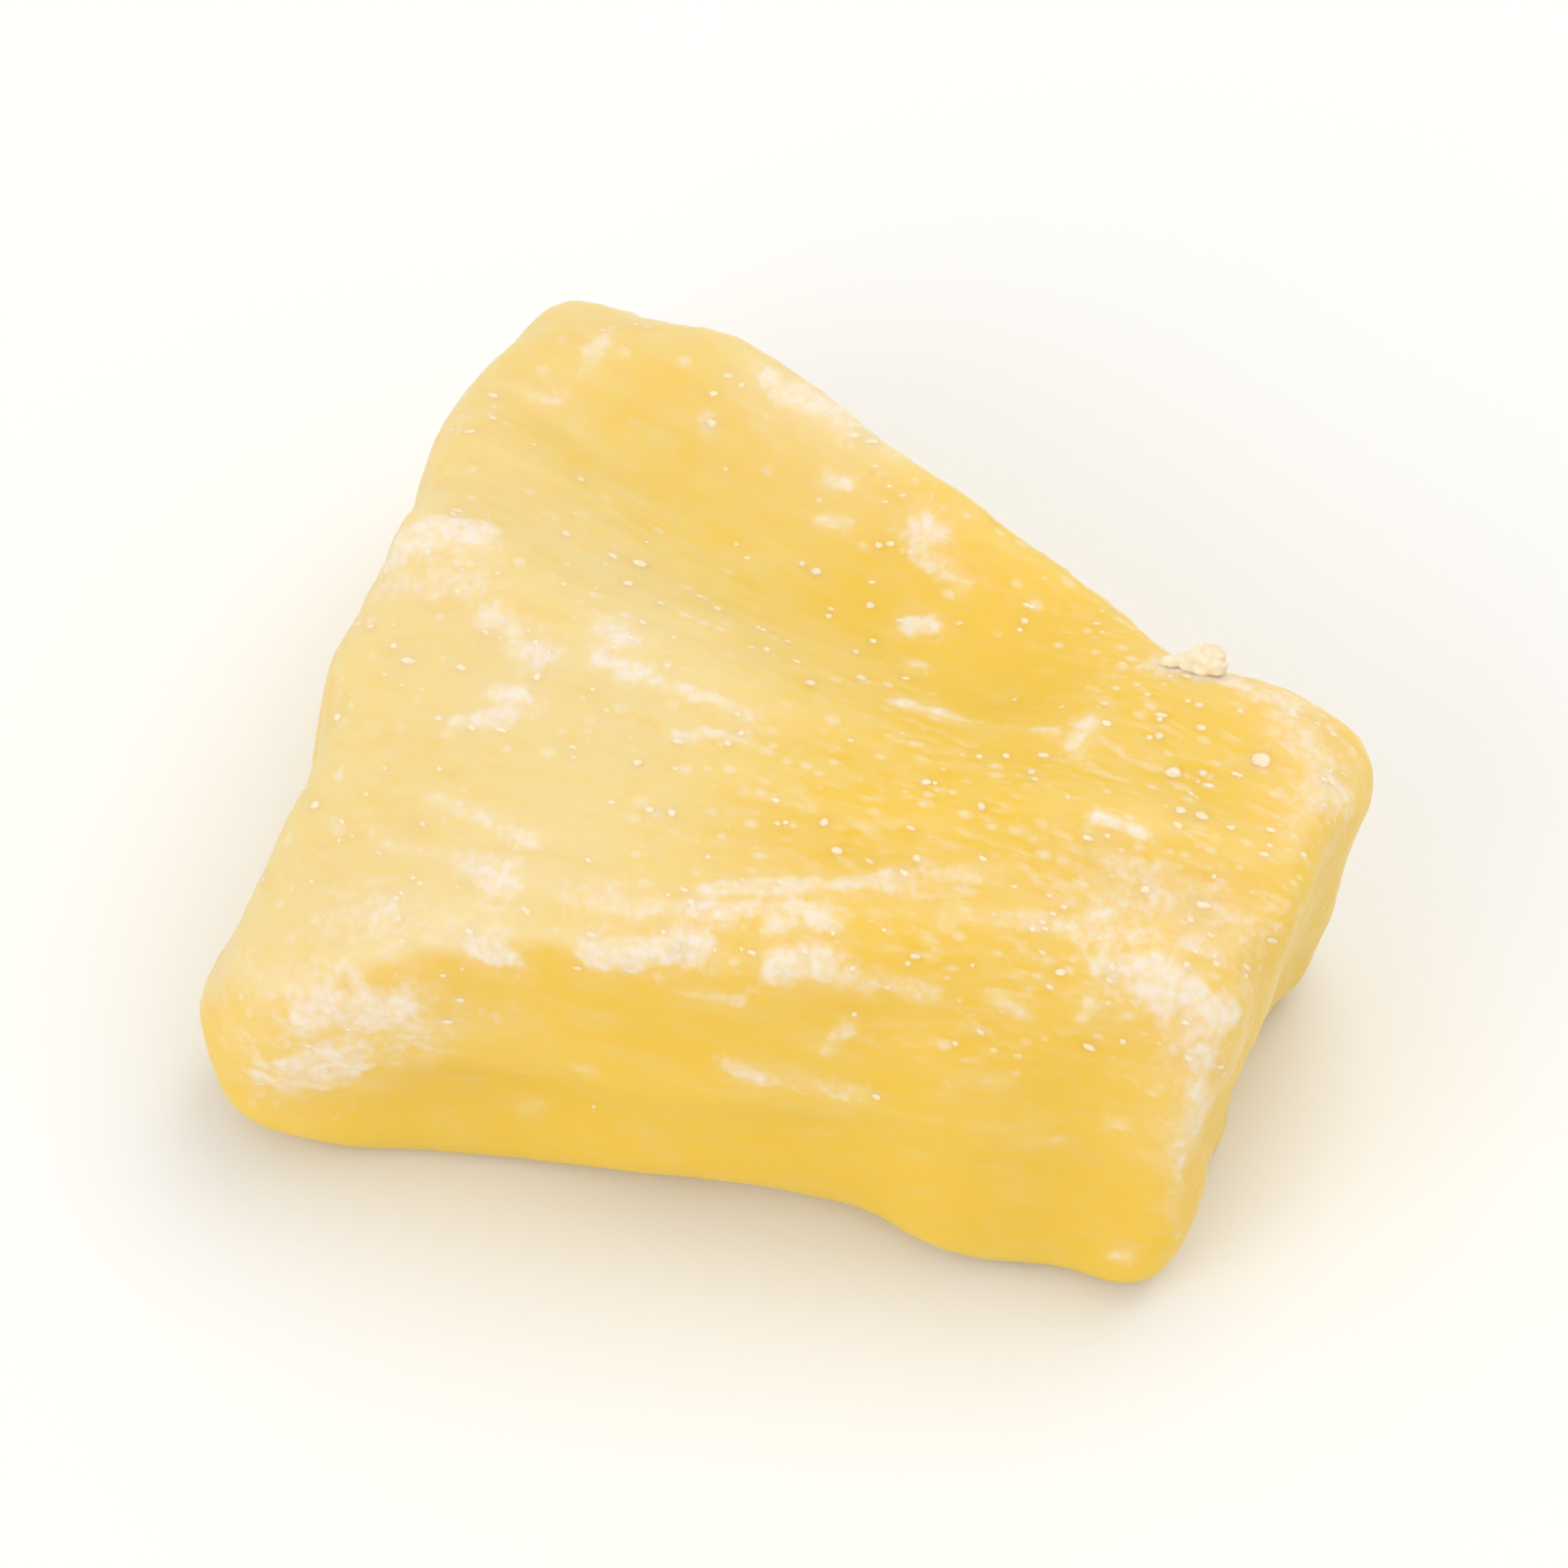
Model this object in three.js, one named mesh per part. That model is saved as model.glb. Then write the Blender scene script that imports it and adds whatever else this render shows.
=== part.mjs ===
// A dried, sugared pineapple wedge: a tenth of a fruit ring, cut through to the core and dried.
// Millimetres. +X runs along the fibres from the wide rim end to the narrow core end, +Y to the back cut,
// +Z up out of the ring's face. The wedge lies on its flat underside, with the origin under its middle.
import * as THREE from "three";
import { mergeVertices } from "three/addons/utils/BufferGeometryUtils.js";

// ---------- driving dimensions ----------
const LENGTH = 28.6; // rim end to core end, along the fibres
const RIM_WIDTH = 27; // across the wide end
const CORE_WIDTH = 13.6; // across the narrow end
const THICKNESS = 11.6; // underside to top, at the middle
const THICKEN = 0.05; // extra thickness for each mm towards the core end
const RIM_SKEW = 0.178; // the rim end isn't quite square to the fibres
const CORE_LEAN = 0.05; // and the core end leans back a little
const EDGE_ROUND = 1.7; // radius of an ordinary dried edge
const CORNER_ROUND = 1.6; // extra radius where the thin corners have shrunk most
const FACET = 0.8; // size of one facet

// ---------- relief: rise is how far a feature stands out of its face, and is negative in a hollow ----------
// The trough runs from the rim along the back cut and ends in a little bowl near the core end.
const TROUGH = { rise: -1.6, nearHalf: 2.9, farHalf: 3.6, x: -10.6, y: 7.5, slope: -0.34, bend: 0.0045 };
const TROUGH_FADES = { rim: [-19, -8], bowl: [3.5, 7] };
// A torn step rises out of the trough's near side and fades towards the middle.
const CREST = { rise: 0.75, half: 1.9, x: -14.5, y: 1.4, slope: -0.22, fade: [-5, 1] };
// A long low fold and a groove beside it cross the near half.
const FOLD = { rise: 0.25, half: 1.6, y: -3.2, slope: 0.3, start: [-9, -3] };
const GROOVE = { rise: -0.2, half: 1.5, beside: -2.6, start: [-11, -2] };

// Round mounds and dents: middle, half sizes and rise.
const TOP_MOUNDS = [
  { x: -14.5, y: -14.5, rx: 6.5, ry: 6.5, rise: -3.9 }, // the near rim corner has sunk
  { x: 9.8, y: 5, rx: 3, ry: 2.6, rise: 0.6 }, // the knob beyond the bowl
  { x: 4.6, y: 1.8, rx: 3, ry: 1, rise: 0.25 }, // the near lip of the bowl
  { x: -13.4, y: 1.4, rx: 2.4, ry: 1.3, rise: 0.45 }, // where the torn step meets the rim
  { x: 14, y: -3, rx: 3, ry: 5, rise: -0.5 }, // the worn middle of the core end
];
const UNDER_MOUNDS = [
  { x: -13, y: -13, rx: 4, ry: 3, rise: -0.5 }, // the near rim corner
  { x: 3, y: 10.5, rx: 9, ry: 2.6, rise: -1.1 }, // along the back cut
  { x: 2, y: -10, rx: 6, ry: 2, rise: -0.7 }, // along the front cut
];
const ROUND_CORNERS = [
  { x: -14, y: 12, rx: 7, ry: 6, rise: 1 }, // thin corner where the rim meets the back cut
  { x: 15, y: 6, rx: 4, ry: 4, rise: 0.3 },
  { x: 14, y: -9, rx: 4, ry: 4, rise: -0.4 }, // this corner has stayed crisp
  { x: -14, y: -13.5, rx: 2.6, ry: 2.6, rise: 0.36 }, // the near rim corner is worn
];

// Dried edges wander: each swell of a side has its place along the side, its half width and its rise.
const FRONT_SWELLS = [
  { at: -5.6, half: 2.8, rise: -0.45 },
  { at: 1.8, half: 2, rise: 0.15 },
  { at: 7.3, half: 1.6, rise: 0.32 },
  { at: 10.9, half: 1.4, rise: -0.34 },
];
const BACK_SWELLS = [
  { at: -10, half: 2.4, rise: 0.6 },
  { at: 2, half: 2, rise: -0.28 },
  { at: 5.9, half: 1.5, rise: 0.5 },
  { at: 9.8, half: 1.3, rise: -0.2 },
];
const RIM_SWELLS = [
  { at: -9, half: 2, rise: 0.3 },
  { at: -5.4, half: 1.7, rise: -0.36 },
  { at: -2.6, half: 1.4, rise: -0.14 },
  { at: 8.6, half: 3, rise: 0.3 },
];
const CORE_SWELLS = [
  { at: -6.6, half: 1.5, rise: 0.4 },
  { at: -3.2, half: 1.6, rise: -0.26 },
  { at: 5.6, half: 2.6, rise: 0.34 },
];

// Fibre bundles, as two layers of long lumps: length, width and rise.
const BUNDLES = [
  { long: 9, wide: 2.6, rise: 0.36 },
  { long: 5, wide: 1.5, rise: 0.14 },
];
// Lumps of the two ends: size along Y, size along Z, rise and the place that they are read from.
const RIM_LUMPS = { wide: 4.2, high: 4.2, rise: 0.4, seed: [9.5, 2.2, 4.4] };
const CORE_LUMPS = { wide: 2.6, high: 3.5, rise: 0.3, seed: [1.5, 8.2, 6.6] };
const BUNDLE_SEED = [7.3, 3.1, 5.7];

// ---------- what follows from them ----------
const HALF_TAPER = Math.atan((RIM_WIDTH - CORE_WIDTH) / 2 / LENGTH); // each cut's angle to the X axis
const APEX_X = LENGTH / 2 + CORE_WIDTH / 2 / Math.tan(HALF_TAPER); // where the two cuts, and the fibres, meet
const SIDE_DISTANCE = ((RIM_WIDTH + CORE_WIDTH) / 4) * Math.cos(HALF_TAPER);
const MIDDLE = new THREE.Vector3(0, 0, THICKNESS * 0.45); // every ray that finds the skin starts here

// ---------- small shapes that the relief is made of ----------
const smooth = (low, high, t) => THREE.MathUtils.smoothstep(t, low, high);
const bell = (t, half) => Math.exp(-((t / half) ** 2));
const mound = (p, m) => m.rise * Math.exp(-(((p.x - m.x) / m.rx) ** 2) - ((p.y - m.y) / m.ry) ** 2);
const mounds = (p, list) => list.reduce((sum, m) => sum + mound(p, m), 0);
const swells = (t, list) => list.reduce((sum, { at, half, rise }) => sum + rise * bell(t - at, half), 0);

// A repeatable number from 0 to 1 for each cell of a 3-D lattice.
function cellValue(i, j, k) {
  let h = (i * 374761393 + j * 668265263 + k * 2147483647 + 1013904223) | 0;
  h = Math.imul(h ^ (h >>> 13), 1274126177);
  h = Math.imul(h ^ (h >>> 16), 2246822519);
  return ((h ^ (h >>> 15)) >>> 0) / 4294967295;
}

// Smooth noise from -1 to 1, with one lump for each unit of its coordinates.
function lumps(x, y, z, seed) {
  const at = [x + seed[0], y + seed[1], z + seed[2]];
  const base = at.map(Math.floor);
  const [u, v, w] = at.map((t, n) => smooth(0, 1, t - base[n]));
  let sum = 0;
  for (let n = 0; n < 8; n++) {
    const [a, b, c] = [n & 1, (n >> 1) & 1, (n >> 2) & 1];
    const share = (a ? u : 1 - u) * (b ? v : 1 - v) * (c ? w : 1 - w);
    sum += share * cellValue(base[0] + a, base[1] + b, base[2] + c);
  }
  return sum * 2 - 1;
}

// Fibre bundles lie along the lines that meet at the apex, and are narrow across them.
function fibres(p) {
  const reach = APEX_X - p.x;
  const across = Math.atan2(p.y, reach) * APEX_X;
  let rise = 0;
  for (const { long, wide, rise: height } of BUNDLES) {
    rise += height * lumps(reach / long, across / wide, p.z / wide, BUNDLE_SEED);
  }
  return rise;
}

// ---------- relief of each face ----------
function topRelief(p) {
  const along = p.x - TROUGH.x;
  const off = p.y - (TROUGH.y + TROUGH.slope * along + TROUGH.bend * along ** 2);
  const troughEnds = smooth(...TROUGH_FADES.rim, p.x) * (1 - smooth(...TROUGH_FADES.bowl, p.x));
  const trough = TROUGH.rise * bell(off, off > 0 ? TROUGH.farHalf : TROUGH.nearHalf) * troughEnds;

  const crestY = CREST.y + CREST.slope * (p.x - CREST.x);
  const crest = CREST.rise * bell(p.y - crestY, CREST.half) * (1 - smooth(...CREST.fade, p.x));

  const foldY = FOLD.y + FOLD.slope * p.x;
  const fold = FOLD.rise * bell(p.y - foldY, FOLD.half) * smooth(...FOLD.start, p.x);
  const groove = GROOVE.rise * bell(p.y - foldY - GROOVE.beside, GROOVE.half) * smooth(...GROOVE.start, p.x);
  return THICKEN * p.x + trough + crest + fold + groove + mounds(p, TOP_MOUNDS);
}

// The underside stands 0.3 mm too low, so that trimming it level leaves a broad flat patch to rest on.
function underRelief(p) {
  return 0.3 + mounds(p, UNDER_MOUNDS);
}

function frontRelief(p) {
  const high = p.z / THICKNESS;
  const flare = smooth(2, 13, p.x) * (0.85 - 1.7 * high); // the cut leans out at its foot by the core end
  const waist = -0.4 * bell(p.x - 2.5, 5);
  const crease = -0.3 * bell(p.z - 4.2 - 0.12 * p.x, 0.9) * (1 - smooth(0, 9, p.x));
  const heel = 0.9 * (1 - high) * (1 - smooth(-13, -7, p.x));
  return flare + waist + crease + heel + swells(p.x, FRONT_SWELLS);
}

// The worn slope between the top and the front cut.
function shoulderRelief(p) {
  return 0.25 * bell(p.x + 4, 3) - 0.3 * bell(p.x - 8, 3);
}

function backRelief(p) {
  const pinch = -1.3 * bell(p.x - 7.2, 3);
  const belly = 0.8 * bell(p.x + 7.5, 4);
  const ridge = 0.3 * bell(p.z - 6.5 + 0.1 * p.x, 1.2);
  return pinch + belly + ridge + swells(p.x, BACK_SWELLS) - 0.2;
}

function rimRelief(p) {
  const heel = (0.6 + 1.1 * bell(p.z - 2, 3)) * (1 - smooth(-12, -6, p.y)); // the near corner kicks out
  const drawnIn = -1.1 * smooth(6, 12, p.y);
  const step = 0.7 * bell(p.y + 4, 2.6) - 0.2 * bell(p.y - 1.5, 1.8);
  const belly = 0.4 * bell(p.z - 4.5, 4);
  const { wide, high, rise, seed } = RIM_LUMPS;
  const lumpy = rise * lumps(p.y / wide, p.z / high, 0, seed);
  return heel + drawnIn + step + belly + lumpy + swells(p.y, RIM_SWELLS) + 0.25;
}

function coreRelief(p) {
  const low = 1 - p.z / THICKNESS;
  const undercut = 1.2 - low * (2 + 0.75 * smooth(-7, 2, p.y));
  const notch = -0.3 * bell(p.y - 1.5, 2.2);
  const { wide, high, rise, seed } = CORE_LUMPS;
  const lumpy = rise * lumps(p.y / wide, p.z / high, 0, seed);
  return undercut + notch + lumpy + swells(p.y, CORE_SWELLS);
}

// ---------- the faces of the cut: outward direction, distance from the origin, relief ----------
const face = (x, y, z, distance, relief) => ({
  out: new THREE.Vector3(x, y, z).normalize(),
  distance,
  relief,
});
const faces = [
  face(0, 0, 1, THICKNESS, topRelief),
  face(0, 0, -1, 0, underRelief),
  face(Math.sin(HALF_TAPER), -Math.cos(HALF_TAPER), 0, SIDE_DISTANCE, frontRelief),
  face(Math.sin(HALF_TAPER), Math.cos(HALF_TAPER), 0, SIDE_DISTANCE, backRelief),
  face(-1, -RIM_SKEW, 0, LENGTH / 2, rimRelief),
  face(1, 0, CORE_LEAN, LENGTH / 2, coreRelief),
  face(0.2, -0.54, 0.84, 13.4, shoulderRelief),
];

// Signed distance to the skin: the largest of the faces' distances, blended so that the edges come out round.
const BLEND_PER_RADIUS = 2.366; // this blend rounds a right-angled edge to a radius of 2.366 / sharpness
function depth(p) {
  const sharpness = BLEND_PER_RADIUS / (EDGE_ROUND + CORNER_ROUND * mounds(p, ROUND_CORNERS));
  const bundle = fibres(p);
  let sum = 0;
  for (const { out, distance, relief } of faces) {
    sum += Math.exp(sharpness * (out.dot(p) - distance - relief(p) - bundle));
  }
  return Math.log(sum) / sharpness;
}

// The point of the skin that a ray from the middle meets, found by halving.
const FAR_OUT = 2;
const HALVINGS = 26;
function skinPoint(direction) {
  let [inside, outside] = [0, FAR_OUT];
  const p = new THREE.Vector3();
  for (let n = 0; n < HALVINGS; n++) {
    const reach = (inside + outside) / 2;
    p.copy(direction).multiplyScalar(reach).add(MIDDLE);
    if (depth(p) < 0) inside = reach;
    else outside = reach;
  }
  return p;
}

// ---------- the wedge: a block of even facets, each corner cast out onto the skin ----------
function wedgeGeometry() {
  const cells = (size) => Math.round(size / FACET);
  const block = new THREE.BoxGeometry(
    LENGTH, 1, THICKNESS,
    cells(LENGTH), cells((RIM_WIDTH + CORE_WIDTH) / 2), cells(THICKNESS),
  );
  block.deleteAttribute("normal");
  block.deleteAttribute("uv");
  const skin = mergeVertices(block, 1e-5);
  const corners = skin.getAttribute("position");
  const direction = new THREE.Vector3();
  for (let n = 0; n < corners.count; n++) {
    direction.fromBufferAttribute(corners, n);
    direction.y *= 2 * (APEX_X - direction.x) * Math.tan(HALF_TAPER);
    const p = skinPoint(direction);
    corners.setXYZ(n, p.x, p.y, Math.max(p.z, 0)); // the soft fruit has dried flat where it rests
  }
  skin.computeBoundingBox();
  const centre = skin.boundingBox.getCenter(new THREE.Vector3());
  skin.translate(-centre.x, -centre.y, 0);
  skin.computeVertexNormals();
  return skin;
}

const candied = new THREE.MeshStandardMaterial({ color: "#f3cb64", roughness: 0.5, metalness: 0 });
const wedge = new THREE.Mesh(wedgeGeometry(), candied);
wedge.name = "pineapple_wedge";

const part = new THREE.Group();
part.add(wedge);

export default part;
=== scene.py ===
"""A dried, sugared pineapple wedge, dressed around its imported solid.

Lengths are written in millimetres and turned into Blender's metres with MM. The wedge's fibres run along X,
from the wide rim end (low X) to the narrow core end (high X), and it rests on its flat underside at Z = 0.
"""
import math

import bpy
import numpy as np
from mathutils import Matrix, Vector, noise
from mathutils.bvhtree import BVHTree


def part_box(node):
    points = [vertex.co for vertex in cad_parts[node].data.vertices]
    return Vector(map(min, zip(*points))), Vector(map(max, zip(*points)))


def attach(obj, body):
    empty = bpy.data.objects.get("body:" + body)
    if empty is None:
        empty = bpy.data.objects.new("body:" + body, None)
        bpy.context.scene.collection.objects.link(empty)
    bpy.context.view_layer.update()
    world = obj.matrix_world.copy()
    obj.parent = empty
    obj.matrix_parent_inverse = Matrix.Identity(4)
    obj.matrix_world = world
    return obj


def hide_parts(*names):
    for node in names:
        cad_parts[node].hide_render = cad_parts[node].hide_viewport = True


bl_info = {
    "name": "Dried Pineapple Wedge",
    "version": (1, 0, 0),
    "blender": (4, 5, 0),
    "location": "3D View > Sidebar > Dried Fruit",
    "description": "Dresses a dried pineapple wedge with candied flesh, sugar frost, flakes and crumbs",
    "category": "Add Mesh",
}

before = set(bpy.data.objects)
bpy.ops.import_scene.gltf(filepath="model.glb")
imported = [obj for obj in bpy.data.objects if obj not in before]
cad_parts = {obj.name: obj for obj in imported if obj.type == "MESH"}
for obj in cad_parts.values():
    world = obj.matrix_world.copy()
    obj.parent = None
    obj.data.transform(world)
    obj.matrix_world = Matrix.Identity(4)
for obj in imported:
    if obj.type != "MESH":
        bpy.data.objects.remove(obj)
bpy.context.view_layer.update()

MM = 0.001
SOLID = "pineapple_wedge"
LOW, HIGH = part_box(SOLID)
LENGTH = HIGH.x - LOW.x
CUTS_MEET = 0.912  # how far past the core end the two cuts would meet, over the wedge's length
FIBRES_MEET_X = HIGH.x + CUTS_MEET * LENGTH  # the fibres run together as the cuts do
PHOTO_AZIMUTH, PHOTO_ELEVATION = math.radians(25), math.radians(52)  # where the photo was taken from


# ---------- sizes and colours that a user would change ----------
class FleshSettings(bpy.types.PropertyGroup):
    voxel: bpy.props.FloatProperty(
        name="Surface step", description="Spacing of the skin's vertices", default=0.17 * MM, unit="LENGTH"
    )
    fibre_rise: bpy.props.FloatProperty(
        name="Fibre rise", description="Height of the fine fibres", default=0.035 * MM, unit="LENGTH"
    )
    dimple_rise: bpy.props.FloatProperty(
        name="Dimple rise", description="Height of the soft dents", default=0.08 * MM, unit="LENGTH"
    )
    crust_rise: bpy.props.FloatProperty(
        name="Crust rise", description="Thickness of the sugar frost", default=0.12 * MM, unit="LENGTH"
    )
    honey: bpy.props.FloatVectorProperty(
        name="Honey", description="Colour of clear flesh", subtype="COLOR", default=(0.86, 0.57, 0.06)
    )
    cream: bpy.props.FloatVectorProperty(
        name="Cream", description="Colour of cloudy flesh", subtype="COLOR", default=(0.845, 0.66, 0.27)
    )


class SugarSettings(bpy.types.PropertyGroup):
    flakes: bpy.props.IntProperty(name="Flakes", description="How many small sugar flakes", default=440)
    smallest: bpy.props.FloatProperty(
        name="Smallest", description="Radius of the smallest flake", default=0.07 * MM, unit="LENGTH"
    )
    largest: bpy.props.FloatProperty(
        name="Largest", description="Radius of the largest flake", default=0.14 * MM, unit="LENGTH"
    )
    seed: bpy.props.IntProperty(name="Seed", description="Where the flakes fall", default=7)
    pale: bpy.props.FloatVectorProperty(
        name="Pale sugar", description="Colour of thick frost", subtype="COLOR", default=(0.885, 0.785, 0.67)
    )
    # Deep sugar is painted shade: a darker sugar colour that the grain noise mixes in between the crystals,
    # for the shade in the frost's hollows.
    painted_shade: bpy.props.FloatVectorProperty(
        name="Deep sugar",
        description="Colour of frost in its hollows",
        subtype="COLOR",
        default=(0.87, 0.72, 0.47),
    )
    loose: bpy.props.FloatVectorProperty(
        name="Loose sugar",
        description="Colour of flakes and crumbs",
        subtype="COLOR",
        default=(0.93, 0.81, 0.58),
    )


class StageSettings(bpy.types.PropertyGroup):
    azimuth: bpy.props.FloatProperty(
        name="Azimuth", description="Camera's turn about Z", default=PHOTO_AZIMUTH, subtype="ANGLE"
    )
    elevation: bpy.props.FloatProperty(
        name="Elevation", description="Camera's height angle", default=PHOTO_ELEVATION, subtype="ANGLE"
    )
    lens: bpy.props.FloatProperty(name="Lens", description="Focal length in millimetres", default=300)
    fill: bpy.props.FloatProperty(
        name="Fill", description="Share of the picture's width that the wedge takes", default=0.74
    )
    floor: bpy.props.FloatVectorProperty(
        name="Floor", description="Colour of the floor", subtype="COLOR", default=(0.92, 0.92, 0.91)
    )


# ---------- modelling helpers ----------
def select_only(piece):
    bpy.ops.object.select_all(action="DESELECT")
    piece.select_set(True)
    bpy.context.view_layer.objects.active = piece


def apply_modifier(piece, kind, **settings):
    select_only(piece)
    bpy.ops.object.modifier_add(type=kind)
    modifier = piece.modifiers[-1]
    for name, value in settings.items():
        setattr(modifier, name, value)
    bpy.ops.object.modifier_apply(modifier=modifier.name)


def copy_of_solid(name):
    """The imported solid's surface as a new object, with its loose triangles merged."""
    piece = bpy.data.objects.new(name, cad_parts[SOLID].data.copy())
    piece.data.name = name
    piece.data.materials.clear()
    bpy.context.scene.collection.objects.link(piece)
    select_only(piece)
    bpy.ops.object.mode_set(mode="EDIT")
    bpy.ops.mesh.select_all(action="SELECT")
    bpy.ops.mesh.remove_doubles(threshold=0.001 * MM)
    bpy.ops.object.mode_set(mode="OBJECT")
    return piece


def finish_piece(piece, material):
    piece.data.materials.clear()
    piece.data.materials.append(material)
    select_only(piece)
    bpy.ops.object.shade_smooth()
    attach(piece, "root")


def vertex_array(mesh):
    values = np.empty(len(mesh.vertices) * 3, np.float32)
    mesh.vertices.foreach_get("co", values)
    return values.reshape(-1, 3).astype(float)


def normal_array(mesh):
    values = np.empty(len(mesh.vertices) * 3, np.float32)
    mesh.vertex_normals.foreach_get("vector", values)
    return values.reshape(-1, 3).astype(float)


def store_attribute(mesh, name, values):
    attribute = mesh.attributes.new(name, "FLOAT", "POINT")
    attribute.data.foreach_set("value", np.asarray(values, np.float32))


def read_attribute(mesh, name):
    values = np.empty(len(mesh.vertices), np.float32)
    mesh.attributes[name].data.foreach_get("value", values)
    return values


def smooth_step(low, high, values):
    """0 at low and 1 at high, which may be the smaller of the two, with a soft passage between them."""
    t = np.clip((values - low) / (high - low), 0, 1)
    return t * t * (3 - 2 * t)


NOISE_SHIFT = (17.3, 5.1, 9.7)  # how far apart the noise of one seed and the next is read, in lumps


def noise_field(points, sizes, seed=0):
    """Smooth noise of about -1 to 1 at each point, with lumps of the given sizes (mm along each axis)."""
    scaled = points / np.asarray(sizes) + np.array(NOISE_SHIFT) * (1 + seed)
    return np.array([noise.noise(p) for p in scaled])


def direction(azimuth, elevation):
    """The x, y and z of a unit step from the wedge towards a place at these angles."""
    level = math.cos(elevation)
    return math.sin(azimuth) * level, -math.cos(azimuth) * level, math.sin(elevation)


def fibre_places(points):
    """Each point as distance from where the fibres meet, place across them, and height, all in mm."""
    reach = FIBRES_MEET_X / MM - points[:, 0]
    across = np.arctan2(points[:, 1], reach) * FIBRES_MEET_X / MM
    return np.stack((reach, across, points[:, 2]), axis=1)


# ---------- where the sugar lies ----------
# A stroke is one dab of frost that the photo shows: its two ends, its half width and its strength.
# On the top the ends are (x, y), on the front cut (x, z), both in millimetres.
TOP_STROKES = {
    "lip of the step at the rim": ((-13.1, 0.5), (-11.2, 1.5), 0.62, 1.0),
    "haze below that lip": ((-12.8, -0.7), (-10.5, -0.3), 0.6, 0.5),
    "step, first dab": ((-9.5, -1), (-8.5, -1.3), 0.4, 0.6),
    "step, second dab": ((-8.3, -1.8), (-7.3, -1.6), 0.36, 0.9),
    "step, third dab": ((-6.3, -0.4), (-5.3, -0.3), 0.34, 0.9),
    "step, fourth dab": ((-5.8, -1.2), (-4.7, -1.4), 0.36, 0.9),
    "step, thin end": ((-4.7, -1.4), (-1.1, -1.4), 0.24, 0.55),
    "spot under the step": ((-8.1, -3.2), (-7.5, -3.2), 0.4, 1.0),
    "smear under the step": ((-8.8, -4.5), (-7.5, -4), 0.3, 0.7),
    "dot in the middle": ((-2.7, -2.9), (-2.3, -2.8), 0.2, 0.8),
    "line in the middle": ((-2.1, -2.5), (-0.7, -2.2), 0.14, 0.6),
    "mark at the far rim": ((-11.6, 9.7), (-11.6, 11), 0.3, 0.6),
    "smear at the far rim": ((-12.5, 8.2), (-11.8, 8.6), 0.4, 0.35),
    "dot at the far rim": ((-7.5, 9.5), (-7.3, 9.1), 0.2, 0.6),
    "back edge, bright start": ((-6.3, 11.1), (-4.3, 10.8), 0.5, 0.9),
    "back edge, fading": ((-4.3, 10.8), (-1.7, 10.1), 0.5, 0.5),
    "trough, upper dab": ((-3.2, 8.6), (-2.7, 8.5), 0.26, 0.8),
    "trough, middle dab": ((-2.8, 7.2), (-2.1, 7.4), 0.26, 0.65),
    "trough, back dab": ((0, 7.9), (0.7, 7.7), 0.42, 0.85),
    "trough, back trail": ((0.4, 7), (2, 6.5), 0.38, 0.5),
    "bowl, near dab": ((1.1, 4.7), (1.8, 4.9), 0.3, 0.95),
    "bowl, dot": ((2, 3.3), (2.3, 3.4), 0.2, 0.7),
    "bowl lip, start": ((2.5, 1.4), (3.5, 1.5), 0.22, 0.9),
    "bowl lip, thin stretch": ((3.5, 1.5), (7.1, 1.8), 0.15, 0.6),
    "bowl lip, end": ((7.8, 1.5), (7.9, 2.4), 0.3, 0.8),
    "core end, back corner": ((13.1, 5), (15, 3.2), 0.9, 0.6),
    "core end, haze on the edge": ((14.8, 3.2), (14.7, 0.5), 0.4, 0.3),
    "back edge, pinch": ((8.7, 5.3), (12.7, 5.4), 0.45, 0.6),
    "ground of the clump": ((9.1, 5.2), (10.8, 5.3), 0.5, 0.7),
    "dash by the core end": ((9.5, -0.8), (11, -0.8), 0.19, 1.0),
    "long band, upper line": ((0.2, -7), (4.8, -4.7), 0.28, 0.75),
    "long band, middle line": ((-2, -8.6), (3.6, -6.3), 0.28, 0.65),
    "long band, lower line": ((2.3, -7.3), (4.1, -6.6), 0.26, 0.75),
    "long band, rim half": ((-6.6, -8.6), (-2.2, -8.3), 0.5, 0.35),
    "long band, haze": ((-1.5, -7.8), (5.5, -5), 0.8, 0.12),
    "long band, core half": ((4.8, -4.7), (7.5, -3.2), 0.34, 0.45),
    "band's broad end": ((6.8, -4.9), (10.8, -3.6), 0.5, 0.5),
    "haze by the core corner": ((11, -2.4), (14.2, -2), 1.3, 0.52),
    "front corner of the core end": ((11.4, -4.5), (13.2, -4.2), 0.42, 0.9),
    "front corner, bright": ((13.2, -4.3), (14.8, -4.2), 0.66, 1.0),
    "lower spot, rim side": ((-5.2, -10.5), (-4.3, -10.4), 0.42, 1.0),
    "lower spot, long": ((-2, -9.8), (0.7, -8.6), 0.46, 1.0),
    "lower spot, core side": ((2.9, -8.2), (4.1, -7.6), 0.42, 1.0),
    "lower spot, tail": ((4.2, -7.7), (5.3, -7.4), 0.3, 0.5),
    "below the lower spots": ((5.8, -7.2), (7.2, -6.8), 0.3, 0.42),
    "dot below them": ((8.9, -6.3), (9.6, -6.2), 0.22, 0.6),
    "dot by the core corner": ((11.4, -5.6), (11.4, -5.4), 0.24, 0.75),
    "streak by the rim": ((-8.4, -7.1), (-4.9, -7.5), 0.26, 0.6),
    "second streak by the rim": ((-9.5, -8.5), (-5.6, -8.6), 0.24, 0.4),
    "dot by the shoulder": ((-5.5, -9), (-4.9, -9), 0.3, 0.75),
    "dot near the rim corner": ((-8.3, -10.4), (-8, -10.3), 0.22, 0.8),
    "haze on the rim corner": ((-9.7, -10.6), (-5.9, -10.4), 1.0, 0.38),
}
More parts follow.
